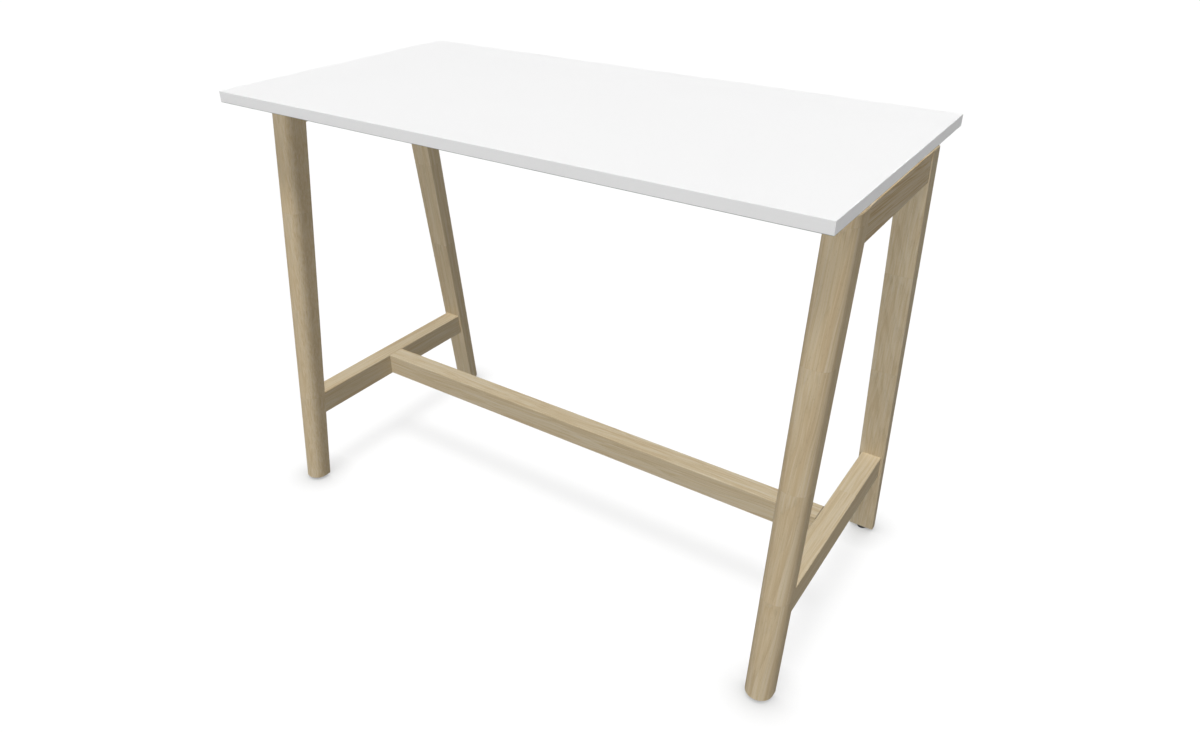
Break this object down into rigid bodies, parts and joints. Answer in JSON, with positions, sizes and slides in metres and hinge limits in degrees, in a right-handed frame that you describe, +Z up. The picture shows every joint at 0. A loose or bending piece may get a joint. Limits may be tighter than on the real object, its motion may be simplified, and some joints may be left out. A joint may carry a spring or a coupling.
{
  "type": "high table",
  "caption": "High table with a white rectangular top on splayed oak end frames, crossbars, a long footrest rail and screw-adjustable levelling feet.",
  "frame": {"origin": "on the floor, under the middle of the top", "axes": "+X along the long side of the top, +Y to the rear, +Z up"},
  "size_m": [1.4, 0.7, 1.05],
  "materials": {
    "oak": "solid pale oak, glued from staves, matt clear lacquer, grain along each member",
    "dowel_wood": "beech dowel, raw",
    "core_board": "pressed fibreboard, raw",
    "white_laminate": "white laminate, fine satin texture",
    "backing_laminate": "white balancing laminate, matt",
    "white_edge_band": "white edge band, satin",
    "black_nylon": "black nylon, matt",
    "black_plastic": "black moulded plastic, fine texture",
    "zinc_steel": "bright zinc plated steel"
  },
  "bodies": {
    "table": {"front_left_leg": "oak", "front_right_leg": "oak", "rear_left_leg": "oak", "rear_right_leg": "oak", "left_top_crossbar": "oak", "right_top_crossbar": "oak", "left_lower_crossbar": "oak", "right_lower_crossbar": "oak", "footrest_rail": "oak", "left_frame_dowels": "dowel_wood", "right_frame_dowels": "dowel_wood", "rail_dowels": "dowel_wood", "top_core_board": "core_board", "top_laminate_sheet": "white_laminate", "underside_backing_sheet": "backing_laminate", "edge_band_front": "white_edge_band", "edge_band_rear": "white_edge_band", "edge_band_left": "white_edge_band", "edge_band_right": "white_edge_band", "left_top_spacers": "black_nylon", "left_top_inserts": "zinc_steel", "left_top_bolts": "zinc_steel", "left_top_washers": "zinc_steel", "right_top_spacers": "black_nylon", "right_top_inserts": "zinc_steel", "right_top_bolts": "zinc_steel", "right_top_washers": "zinc_steel", "rail_joint_bolts": "zinc_steel", "rail_half_moon_washers": "zinc_steel", "rail_nuts": "zinc_steel", "rail_inserts": "zinc_steel", "foot_inserts": "zinc_steel"},
    "front_left_foot_pad": {"front_left_foot_pad": "black_plastic"},
    "front_left_foot_stem": {"front_left_foot_stem": "zinc_steel"},
    "front_right_foot_pad": {"front_right_foot_pad": "black_plastic"},
    "front_right_foot_stem": {"front_right_foot_stem": "zinc_steel"},
    "rear_left_foot_pad": {"rear_left_foot_pad": "black_plastic"},
    "rear_left_foot_stem": {"rear_left_foot_stem": "zinc_steel"},
    "rear_right_foot_pad": {"rear_right_foot_pad": "black_plastic"},
    "rear_right_foot_stem": {"rear_right_foot_stem": "zinc_steel"}
  },
  "joints": [
    {"name": "front_left_foot_height", "type": "slide", "parent": "table", "child": "front_left_foot_pad", "axis": [0, 0, -1], "range_m": [0, 0.01]},
    {"name": "front_left_foot_turn", "type": "hinge", "parent": "front_left_foot_pad", "child": "front_left_foot_stem", "pos_m": [-0.6675, -0.311, 0.02], "axis": [0, 0, -1], "range_deg": [0, 2880]},
    {"name": "front_right_foot_height", "type": "slide", "parent": "table", "child": "front_right_foot_pad", "axis": [0, 0, -1], "range_m": [0, 0.01]},
    {"name": "front_right_foot_turn", "type": "hinge", "parent": "front_right_foot_pad", "child": "front_right_foot_stem", "pos_m": [0.6675, -0.311, 0.02], "axis": [0, 0, -1], "range_deg": [0, 2880]},
    {"name": "rear_left_foot_height", "type": "slide", "parent": "table", "child": "rear_left_foot_pad", "axis": [0, 0, -1], "range_m": [0, 0.01]},
    {"name": "rear_left_foot_turn", "type": "hinge", "parent": "rear_left_foot_pad", "child": "rear_left_foot_stem", "pos_m": [-0.6675, 0.311, 0.02], "axis": [0, 0, -1], "range_deg": [0, 2880]},
    {"name": "rear_right_foot_height", "type": "slide", "parent": "table", "child": "rear_right_foot_pad", "axis": [0, 0, -1], "range_m": [0, 0.01]},
    {"name": "rear_right_foot_turn", "type": "hinge", "parent": "rear_right_foot_pad", "child": "rear_right_foot_stem", "pos_m": [0.6675, 0.311, 0.02], "axis": [0, 0, -1], "range_deg": [0, 2880]}
  ],
  "couplings": [
    {"joint": "front_left_foot_turn", "follows": "front_left_foot_height", "rad_per_m": 5026.5},
    {"joint": "front_right_foot_turn", "follows": "front_right_foot_height", "rad_per_m": 5026.5},
    {"joint": "rear_left_foot_turn", "follows": "rear_left_foot_height", "rad_per_m": 5026.5},
    {"joint": "rear_right_foot_turn", "follows": "rear_right_foot_height", "rad_per_m": 5026.5}
  ]
}
